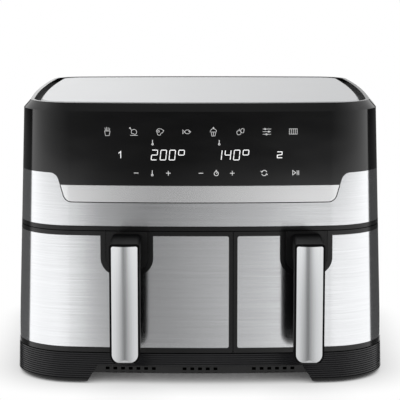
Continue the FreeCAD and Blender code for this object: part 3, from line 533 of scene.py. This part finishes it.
def printed_board(name, top=0.0):
    """Green solder mask over a pattern of tracks, with dark moulded parts above the board's top."""
    graph = material_graph(name)
    tracks = graph.add("ShaderNodeTexBrick", {
        "Vector": graph.stretched(even), "Scale": 90.0, "Mortar Size": 0.06,
    }).outputs["Fac"]
    cloud = graph.noise(scale=300.0, detail=3.0)
    colour = graph.tint(tracks, (0.012, 0.075, 0.03), (0.03, 0.16, 0.06))
    if top:
        moulded = graph.maths("GREATER_THAN", graph.upward("Object"), top)
        resin = graph.tint(cloud, (0.012, 0.013, 0.016), (0.026, 0.027, 0.032))
        colour = graph.tint(moulded, colour, resin)
    graph.give(
        Base_Color=colour,
        Roughness=graph.spread(tracks, 0.34, 0.46, 0.0, 1.0),
        Normal=graph.bump(cloud, distance=0.00005, strength=0.4),
    )
    return graph.owner


def panel_ink(name, glow):
    """White print or lit segments, slightly uneven like a screened ink; a glow on print is painted light.
    """
    graph = material_graph(name)
    speck = graph.noise(scale=900.0)
    colour = graph.tint(speck, (0.72, 0.72, 0.72), (0.9, 0.9, 0.9))
    graph.give(
        Base_Color=colour,
        Roughness=graph.spread(speck, 0.4, 0.55),
        Emission_Color=colour,
        Emission_Strength=glow,
    )
    return graph.owner


# Colour of the steel, and directions at right angles to the grain of brushed metal
steel_colour = (0.672, 0.68, 0.692)
sideways = (1, 0, 0)
backwards = (0, 1, 0)
upwards = (0, 0, 1)

black_plastic = moulded_plastic("black_plastic", roughness=0.3, grain=1400.0)
wall_plastic = moulded_plastic("wall_plastic", roughness=0.2, grain=1400.0, on_wall=True, shade_below=seam_shade_height)
base_plastic = moulded_plastic("base_plastic", roughness=0.22, grain=1100.0)
skirt_plastic = moulded_plastic("skirt_plastic", roughness=0.22, grain=1100.0, ribbed=True, black=0.018)
grip_plastic = moulded_plastic("grip_plastic", roughness=0.4, grain=1400.0, sheen=0.03)
rear_plastic = moulded_plastic(
    "rear_plastic", roughness=0.42, grain=800.0, black=0.007, shade_below=seam_shade_height, relief=0.0003,
)
gloss_black = gloss_plastic("gloss_black")
rim_black = gloss_plastic("rim_black", matte_height=groove_height)
wall_steel = brushed_metal("brushed_steel", upwards, steel_colour, roughness=0.15, on_wall=True)
top_steel = brushed_metal("brushed_top_steel", backwards, steel_colour, roughness=0.24)
strip_paint = satin_paint("satin_strip", (0.87, 0.872, 0.878), roughness=0.23)
facing_metal = brushed_metal("satin_facing", sideways, (0.512, 0.52, 0.528), roughness=0.15)
rubber = soft_rubber("rubber", (0.014, 0.014, 0.014), roughness=0.7)
silicone = soft_rubber("silicone", (0.024, 0.024, 0.025), roughness=0.55)
nonstick = speckled_coating()
sheet_steel = zinc_sheet()
heater_steel = heated_tube()
motor_grey = painted_casting()
bright_steel = plated_steel()
fan_aluminium = pressed_aluminium()
circuit_board = printed_board("circuit_board")
power_circuit = printed_board("power_circuit", top=board_height)
# The glow on the print is painted light; the printed marks are no lamp
print_ink = panel_ink("print_ink", glow=0.25)
lit_segments = panel_ink("lit_segments", glow=0.75)

# Finishes of nodes that have one of their own, and of the rest by their material slot
finishes = {
    "base_tray": base_plastic,
    "base_skirt": skirt_plastic,
    "top_plate": top_steel,
    "trim_strip": strip_paint,
    "front_frame": wall_plastic,
    "drawer_front_left": wall_plastic,
    "drawer_front_right": wall_plastic,
    "side_cover_left": wall_plastic,
    "side_cover_right": wall_plastic,
    "rear_cover": rear_plastic,
    "power_board": power_circuit,
    "handle_grip_left": grip_plastic,
    "handle_grip_right": grip_plastic,
    "top_cover": rim_black,
}
slot_finishes = {
    "black_plastic": black_plastic,
    "gloss_black": gloss_black,
    "brushed_steel": wall_steel,
    "satin_trim": facing_metal,
    "rubber": rubber,
    "silicone": silicone,
    "nonstick": nonstick,
    "sheet_steel": sheet_steel,
    "heater_steel": heater_steel,
    "motor_grey": motor_grey,
    "bright_steel": bright_steel,
    "fan_aluminium": fan_aluminium,
    "circuit_board": circuit_board,
}
for subpart in frame["record"]["subparts"]:
    node = subpart["node"]
    finish = finishes.get(node, slot_finishes[subpart["material_slot"]])
    nodes[node].data.materials[0] = finish


# Marks on the console, drawn as flat ribbons that follow its bowed face
console_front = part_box("control_panel")[0].y - console_gap
console_faces = []
for node in ("control_panel", "trim_strip", "fascia"):
    mesh = nodes[node].data
    console_faces.append(BVHTree.FromPolygons(
        [vertex.co for vertex in mesh.vertices],
        [polygon.vertices for polygon in mesh.polygons],
    ))


def on_console(x, z):
    """Foremost point of the console's face at x and z, which are in millimetres."""
    start = Vector((x * mm, console_front, z * mm))
    hits = [tree.ray_cast(start, Vector((0.0, 1.0, 0.0)))[0] for tree in console_faces]
    return min((hit for hit in hits if hit), key=lambda hit: hit.y)


def arc(x, z, radius, first, last, count):
    """Points along an arc, angles in degrees from the right, anticlockwise."""
    points = []
    for index in range(count + 1):
        angle = math.radians(first + (last - first) * index / count)
        points.append((x + radius * math.cos(angle), z + radius * math.sin(angle)))
    return points


def ring(x, z, radius):
    return (arc(x, z, radius, 0, 330, 11), True)


def line(*points):
    return (list(points), False)


def loop(*points):
    return (list(points), True)


def ribbon_edges(points, closed, width):
    """Left and right border points of a line of this width, mitred at its bends."""
    count = len(points)
    borders = []
    for index in range(count):
        here = Vector(points[index])
        before = Vector(points[index - 1]) if closed or index > 0 else None
        after = Vector(points[(index + 1) % count]) if closed or index < count - 1 else None
        incoming = (here - before).normalized() if before else (after - here).normalized()
        outgoing = (after - here).normalized() if after else incoming
        normal_in = Vector((-incoming.y, incoming.x))
        normal_out = Vector((-outgoing.y, outgoing.x))
        mitre = (normal_in + normal_out).normalized()
        reach = width / 2 / max(mitre.dot(normal_in), sharpest_mitre)
        borders.append((here + mitre * reach, here - mitre * reach))
    return borders


def add_marks(name, strokes, width, material):
    """One piece holding flat ribbons along strokes, given in millimetres on the panel."""
    mesh = bpy.data.meshes.new(name)
    work = bmesh.new()
    for points, closed in strokes:
        rows = []
        for left, right in ribbon_edges(points, closed, width):
            rows.append((work.verts.new(on_console(*left)), work.verts.new(on_console(*right))))
        following = rows[1:] + rows[:1] if closed else rows[1:]
        for (left, right), (next_left, next_right) in zip(rows, following):
            work.faces.new((left, right, next_right, next_left))
    bmesh.ops.recalc_face_normals(work, faces=work.faces)
    work.to_mesh(mesh)
    work.free()
    mesh.materials.append(material)
    marks = bpy.data.objects.new(name, mesh)
    bpy.context.scene.collection.objects.link(marks)
    solid = marks.modifiers.new("thickness", "SOLIDIFY")
    solid.thickness = mark_thickness * mm
    solid.offset = 0.0
    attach(marks, "housing")


def placed(strokes, x, z, size):
    """Strokes of a sign moved to x and z at this size."""
    moved = []
    for points, closed in strokes:
        moved.append(([(x + u * size, z + v * size) for u, v in points], closed))
    return moved


# Signs drawn about the origin in a square that reaches 1 each way
chips = [
    loop((-0.62, 0.1), (0.62, 0.1), (0.42, -0.95), (-0.42, -0.95)),
    line((-0.42, 0.2), (-0.55, 0.85)),
    line((-0.14, 0.2), (-0.18, 1.0)),
    line((0.14, 0.2), (0.2, 0.9)),
    line((0.42, 0.2), (0.55, 0.75)),
]
roast = [
    loop(*arc(0.1, -0.1, 0.62, -60, 210, 12)),
    line((-0.42, 0.3), (-0.75, 0.75)),
    ring(-0.82, 0.82, 0.14),
    line((-0.8, -0.85), (0.95, -0.85)),
]
steak = [
    loop(
        (-0.85, 0.2), (-0.45, 0.7), (0.3, 0.65), (0.85, 0.25),
        (0.55, -0.2), (0.2, -0.35), (0.0, -0.8), (-0.5, -0.75),
    ),
    ring(-0.35, 0.1, 0.2),
]
fish = [
    loop((-0.55, 0.0), (-0.15, 0.42), (0.4, 0.42), (0.9, 0.0), (0.4, -0.42), (-0.15, -0.42)),
    loop((-0.55, 0.0), (-0.95, 0.45), (-0.95, -0.45)),
    ring(0.5, 0.08, 0.07),
]
muffin = [
    loop((-0.55, -0.05), (0.55, -0.05), (0.36, -0.95), (-0.36, -0.95)),
    line(*arc(0.0, 0.0, 0.72, 0, 180, 9)),
    ring(0.0, 0.92, 0.12),
    line((0.0, -0.15), (0.0, -0.85)),
]
vegetables = [
    ring(-0.35, -0.2, 0.5),
    line((-0.35, 0.3), (-0.2, 0.7)),
    line(*arc(0.55, 0.25, 0.5, 100, 290, 8)),
    line((0.46, 0.75), (0.85, 0.6), (0.72, -0.2)),
]
sliders = [
    line((-0.95, 0.6), (0.95, 0.6)),
    line((-0.95, 0.0), (0.95, 0.0)),
    line((-0.95, -0.6), (0.95, -0.6)),
    ring(-0.4, 0.6, 0.18),
    ring(0.45, 0.0, 0.18),
    ring(-0.1, -0.6, 0.18),
]
grill_bars = [
    loop((-0.9, -0.6), (0.9, -0.6), (0.9, 0.6), (-0.9, 0.6)),
    line((-0.45, -0.6), (-0.45, 0.6)),
    line((0.0, -0.6), (0.0, 0.6)),
    line((0.45, -0.6), (0.45, 0.6)),
]
thermometer = [
    ring(0.0, -0.65, 0.3),
    line((0.0, -0.45), (0.0, 0.95)),
]
stopwatch = [
    ring(0.0, -0.15, 0.72),
    line((0.0, -0.15), (0.32, 0.25)),
    line((0.0, 0.6), (0.0, 0.95)),
    line((-0.25, 0.95), (0.25, 0.95)),
]
linked_arrows = [
    line(*arc(0.0, 0.0, 0.75, 20, 160, 8)),
    line((-0.98, 0.55), (-0.7, 0.22), (-0.38, 0.5)),
    line(*arc(0.0, 0.0, 0.75, 200, 340, 8)),
    line((0.98, -0.55), (0.7, -0.22), (0.38, -0.5)),
]
start_and_pause = [
    loop((-0.95, -0.65), (-0.1, 0.0), (-0.95, 0.65)),
    line((0.3, -0.65), (0.3, 0.65)),
    line((0.75, -0.65), (0.75, 0.65)),
]
plus = [line((-0.55, 0.0), (0.55, 0.0)), line((0.0, -0.55), (0.0, 0.55))]
minus = [line((-0.55, 0.0), (0.55, 0.0))]
one = [line((-0.4, 0.35), (0.15, 0.85), (0.15, -0.85))]
two = [line((-0.6, 0.75), (0.6, 0.75), (0.6, 0.05), (-0.6, -0.1), (-0.6, -0.75), (0.65, -0.75))]

pictures = (chips, roast, steak, fish, muffin, vegetables, sliders, grill_bars)
picture_strokes = []
for column, picture in zip(picture_columns, pictures):
    picture_strokes += placed(picture, column, picture_row, picture_size)
add_marks("panel_pictures", picture_strokes, picture_line, print_ink)

key_strokes = []
for column in pointer_columns:
    key_strokes += placed(thermometer, column, pointer_row, pointer_size)
for column in minus_columns:
    key_strokes += placed(minus, column, key_row, sign_size)
for column in plus_columns:
    key_strokes += placed(plus, column, key_row, sign_size)
key_strokes += placed(thermometer, temperature_key_column, key_row, key_size)
key_strokes += placed(stopwatch, timer_key_column, key_row, key_size)
key_strokes += placed(linked_arrows, link_key_column, key_row, wide_key_size)
key_strokes += placed(start_and_pause, start_key_column, key_row, wide_key_size)
add_marks("panel_keys", key_strokes, key_line, print_ink)

zone_strokes = []
for column, number in zip(zone_columns, (one, two)):
    zone_strokes += placed(number, column, number_row, zone_size)
add_marks("panel_zone_numbers", zone_strokes, number_line, lit_segments)

# Lit numbers: bars of a seven-part digit, named from the top round to the middle
digit_bars = {
    "top": ((0.0, 1.0), (1.0, 1.0)),
    "upper_right": ((1.0, 1.0), (1.0, 0.5)),
    "lower_right": ((1.0, 0.5), (1.0, 0.0)),
    "bottom": ((0.0, 0.0), (1.0, 0.0)),
    "lower_left": ((0.0, 0.5), (0.0, 0.0)),
    "upper_left": ((0.0, 1.0), (0.0, 0.5)),
    "middle": ((0.0, 0.5), (1.0, 0.5)),
}
lit_bars = {
    "0": ("top", "upper_right", "lower_right", "bottom", "lower_left", "upper_left"),
    "1": ("upper_right", "lower_right"),
    "2": ("top", "upper_right", "middle", "lower_left", "bottom"),
    "4": ("upper_left", "middle", "upper_right", "lower_right"),
    "degree": ("top", "upper_right", "middle", "upper_left"),
}


def digit_strokes(digit, x_low, z_low):
    """Lit bars of one digit, whose lower left corner is at x_low and z_low."""
    strokes = []
    for name in lit_bars[digit]:
        ends = []
        for u, v in digit_bars[name]:
            height = v * digit_height
            ends.append(Vector((x_low + u * digit_width + digit_slant * height, z_low + height)))
        along = (ends[1] - ends[0]).normalized() * bar_gap
        strokes.append(line(ends[0] + along, ends[1] - along))
    return strokes


readings = (("2", "0", "0", "degree"), ("1", "4", "0", "degree"))
display_strokes = []
for start, reading in zip(display_starts, readings):
    for index, digit in enumerate(reading):
        display_strokes += digit_strokes(digit, start + index * digit_pitch, number_row - digit_height / 2)
add_marks("display_numbers", display_strokes, number_line, lit_segments)


# Thin dark ribbon of painted shade in the seam round the strip
def seam_path():
    """Line down one end of the strip, along it and up the other end, with round corners, in millimetres."""
    low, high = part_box("trim_strip")
    slope = math.atan2(1.0, strip_lean)
    z_low = low.z / mm - seam_width / 2
    z_top = high.z / mm
    x_top = high.x / mm + seam_width / 2
    x_low = x_top - strip_lean * (z_top - z_low)
    turn = strip_round * math.tan(slope / 2)
    corner = arc(x_low - turn, z_low + strip_round, strip_round, -90, math.degrees(slope) - 90, 8)
    rising = corner + [(x_top, z_top)]
    falling = [(-x, z) for x, z in reversed(rising)]
    middle = [(x_low * share / strip_shade_steps, z_low) for share in range(-strip_shade_steps + 2, strip_shade_steps - 1)]
    return line(*falling, *middle, *rising)


# Painted shade: a dark ribbon laid over the seam round the strip
add_marks("strip_seam_shade", [seam_path()], strip_shade_width, rubber)


# Screws with a cross recess in the head and a thread on the shank
def islands(mesh):
    """Points of each separate solid in a mesh."""
    work = bmesh.new()
    work.from_mesh(mesh)
    bmesh.ops.remove_doubles(work, verts=work.verts, dist=same_point * mm)
    unseen = dict.fromkeys(work.verts)
    groups = []
    while unseen:
        front = [unseen.popitem()[0]]
        points = []
        while front:
            vertex = front.pop()
            points.append(vertex.co.copy())
            for edge in vertex.link_edges:
                other = edge.other_vert(vertex)
                if other in unseen:
                    del unseen[other]
                    front.append(other)
        groups.append(points)
    work.free()
    return groups


def turned(work, centre, profile):
    """Adds a closed form turned about a line along y, from (radius, depth) steps that end on that line."""
    rings = []
    for radius, depth in profile:
        if radius == 0.0:
            rings.append([work.verts.new((centre.x, depth, centre.y))])
            continue
        circle = []
        for index in range(screw_segments):
            angle = 2 * math.pi * index / screw_segments
            spot = (centre.x + radius * math.cos(angle), depth, centre.y + radius * math.sin(angle))
            circle.append(work.verts.new(spot))
        rings.append(circle)
    for circle, following in zip(rings, rings[1:]):
        for index in range(screw_segments):
            step = (index + 1) % screw_segments
            corners = [circle[index % len(circle)], circle[step % len(circle)]]
            corners += [following[step % len(following)], following[index % len(following)]]
            work.faces.new(list(dict.fromkeys(corners)))


def screw_profile(radius, shank_radius, tip, seat, top):
    """Tip, threaded shank and domed head as (radius, depth) steps."""
    steps = [(0.0, tip), (shank_radius - thread_depth * mm, tip)]
    turns = int((seat - tip) / (thread_pitch * mm))
    for turn in range(turns):
        crest = tip + (turn + 0.5) * thread_pitch * mm
        steps.append((shank_radius, crest))
        steps.append((shank_radius - thread_depth * mm, crest + thread_pitch * mm / 2))
    steps.append((shank_radius - thread_depth * mm, seat))
    for share, rise in head_profile:
        steps.append((radius * share, seat + (top - seat) * rise))
    return steps


def cutting_wedge(centre, x_half, z_half, bottom, top):
    """Cutter for one arm of the recess, narrower at its bottom."""
    work = bmesh.new()
    outlines = []
    for depth, share in ((bottom, recess_taper), (top, 1.0)):
        outline = []
        for x, z in square_corners:
            spot = (centre.x + x * (x_half * share), depth, centre.y + z * (z_half * share))
            outline.append(work.verts.new(spot))
        outlines.append(outline)
    for outline in outlines:
        work.faces.new(outline)
    lower, upper = outlines
    for index in range(len(square_corners)):
        step = (index + 1) % len(square_corners)
        work.faces.new((lower[index], lower[step], upper[step], upper[index]))
    bmesh.ops.recalc_face_normals(work, faces=work.faces)
    mesh = bpy.data.meshes.new("cutter")
    work.to_mesh(mesh)
    work.free()
    cutter = bpy.data.objects.new("cutter", mesh)
    bpy.context.scene.collection.objects.link(cutter)
    return cutter


def add_screws(name, node, body):
    """Screws in the place of a node, whose heads look back along y."""
    work = bmesh.new()
    cutters = []
    for points in islands(nodes[node].data):
        sides = [point.x for point in points]
        heights = [point.z for point in points]
        depths = [point.y for point in points]
        centre = Vector(((min(sides) + max(sides)) / 2, (min(heights) + max(heights)) / 2))
        radius = (max(sides) - min(sides)) / 2
        reaches = [(Vector((point.x, point.z)) - centre).length for point in points]
        seat = min(depth for depth, reach in zip(depths, reaches) if reach > head_edge * radius)
        shank_end = seat - shank_start * mm
        shank_radius = max(reach for depth, reach in zip(depths, reaches) if depth < shank_end)
        top = max(depths)
        turned(work, centre, screw_profile(radius, shank_radius, min(depths), seat, top))
        bottom = top - (top - seat) * recess_depth
        for reach, width in ((recess_reach, recess_width), (recess_width, recess_reach)):
            cutter_top = top + cutter_rise * mm
            cutters.append(cutting_wedge(centre, radius * reach, radius * width, bottom, cutter_top))
    bmesh.ops.recalc_face_normals(work, faces=work.faces)
    mesh = bpy.data.meshes.new(name)
    work.to_mesh(mesh)
    work.free()
    screws = bpy.data.objects.new(name, mesh)
    bpy.context.scene.collection.objects.link(screws)
    for cutter in cutters:
        cut = screws.modifiers.new("recess", "BOOLEAN")
        cut.object = cutter
        cut.operation = "DIFFERENCE"
    shaped = screws.evaluated_get(bpy.context.evaluated_depsgraph_get())
    finished = bpy.data.meshes.new_from_object(shaped)
    screws.modifiers.clear()
    screws.data = finished
    finished.materials.clear()
    finished.materials.append(bright_steel)
    bpy.data.meshes.remove(mesh)
    for cutter in cutters:
        bpy.data.meshes.remove(cutter.data)
    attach(screws, body)
    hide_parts(node)


add_screws("rear_screw_set", "rear_screws", "housing")
for side in ("left", "right"):
    add_screws("handle_screw_set_" + side, "handle_screws_" + side, "drawer_" + side)


# Stage: pale floor with a soft contact shadow, surroundings that light the object, and the camera
def make_floor():
    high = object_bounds()[1]
    reach = Vector((high[0] + floor_margin, high[1] + floor_margin))
    mesh = bpy.data.meshes.new("floor")
    mesh.from_pydata([(x * reach.x, y * reach.y, 0.0) for x, y in square_corners], [], [(0, 1, 2, 3)])
    floor = bpy.data.objects.new("floor", mesh)
    bpy.context.scene.collection.objects.link(floor)
    graph = material_graph("floor")
    graph.give(Base_Color=floor_colour, Roughness=floor_roughness)
    occlusion = graph.add(
        "ShaderNodeAmbientOcclusion", {"Distance": shadow_reach}, samples=shadow_samples,
    ).outputs["AO"]
    shade = graph.spread(graph.maths("POWER", occlusion, shadow_softness), 0.0, 1.0, shadow_depth, 1.0)
    place = graph.add("ShaderNodeTexCoord").outputs["Object"]
    across = graph.vectors("ABSOLUTE", place).outputs[0]
    share = graph.vectors("DIVIDE", across, (*reach, 1.0)).outputs[0]
    parts = graph.add("ShaderNodeSeparateXYZ", {"Vector": share}).outputs
    border = graph.spread(graph.maths("MAXIMUM", parts["X"], parts["Y"]), 0.0, 1.0, border_start, 1.0)
    glow = graph.add("ShaderNodeEmission", {"Strength": graph.maths("MAXIMUM", shade, border)}).outputs[0]
    path = graph.add("ShaderNodeLightPath").outputs
    seen = graph.maths("MAXIMUM", path["Is Camera Ray"], path["Is Glossy Ray"])
    seen = graph.maths("MAXIMUM", seen, path["Is Transmission Ray"])
    surface = graph.tree.nodes["Principled BSDF"].outputs[0]
    mix = graph.add("ShaderNodeMixShader", {0: seen, 1: surface, 2: glow}).outputs[0]
    graph.join(graph.tree.nodes["Material Output"], {"Surface": mix})
    mesh.materials.append(graph.owner)


def make_surroundings():
    world = bpy.data.worlds.new("surroundings")
    bpy.context.scene.world = world
    graph = Graph(world)

    def all_round(steps, place):
        """Brightness by direction as a share of the brightest, from steps in degrees."""
        ramp = graph.add("ShaderNodeValToRGB", {"Fac": place})
        stops = ramp.color_ramp.elements
        for index, (degrees, brightness) in enumerate(steps):
            position = 0.5 + degrees / 360
            stop = stops[index] if index < len(stops) else stops.new(position)
            stop.position = position
            shade = brightness / brightest
            stop.color = (shade, shade, shade, 1.0)
        return ramp.outputs["Color"]

    def within(source, band):
        """0 where a band starts, 1 where it is full."""
        return graph.spread(source, 0.0, 1.0, *band)

    direction = graph.add("ShaderNodeTexCoord").outputs["Generated"]
    parts = graph.add("ShaderNodeSeparateXYZ", {"Vector": direction}).outputs
    height = parts["Z"]
    ahead = graph.maths("MULTIPLY", parts["Y"], -1.0)
    turn = graph.maths("ARCTAN2", parts["X"], ahead)
    place = graph.maths("MULTIPLY_ADD", turn, 0.5 / math.pi, 0.5)
    level = all_round(level_steps, place)
    light = graph.blend(within(height, dipped_band), level, all_round(dipped_steps, place))
    light = graph.blend(within(height, low_band), light, all_round(low_steps, place))
    light = graph.maths("MULTIPLY", light, brightest)
    narrow = graph.maths("POWER", ahead, sky_dip_power)
    sky_height = graph.maths("MULTIPLY_ADD", narrow, sky_dip, height)
    light = graph.blend(within(sky_height, sky_band), light, sky_brightness)
    light = graph.blend(within(height, ground_band), light, ground_brightness)
    tilt = graph.maths("ADD", ahead, height)
    overhead = graph.spread(tilt, sky_brightness, overhead_brightness, *tilt_band)
    light = graph.blend(within(height, overhead_band), light, overhead)
    seen = graph.add("ShaderNodeLightPath").outputs["Is Camera Ray"]
    strength = graph.blend(seen, light, 1.0)
    graph.join(graph.tree.nodes["Background"], {"Color": white, "Strength": strength})


def make_camera():
    camera = bpy.data.cameras.new("camera")
    camera.lens = focal_length
    camera.sensor_width = sensor_width
    camera.clip_end = farthest_seen
    view = bpy.data.objects.new("camera", camera)
    view.location = (0.0, -camera_distance, camera_height)
    view.rotation_euler = (math.radians(90.0 - camera_pitch), 0.0, 0.0)
    bpy.context.scene.collection.objects.link(view)
    bpy.context.scene.camera = view


make_floor()
make_surroundings()
make_camera()
bpy.context.scene.view_settings.view_transform = "Standard"
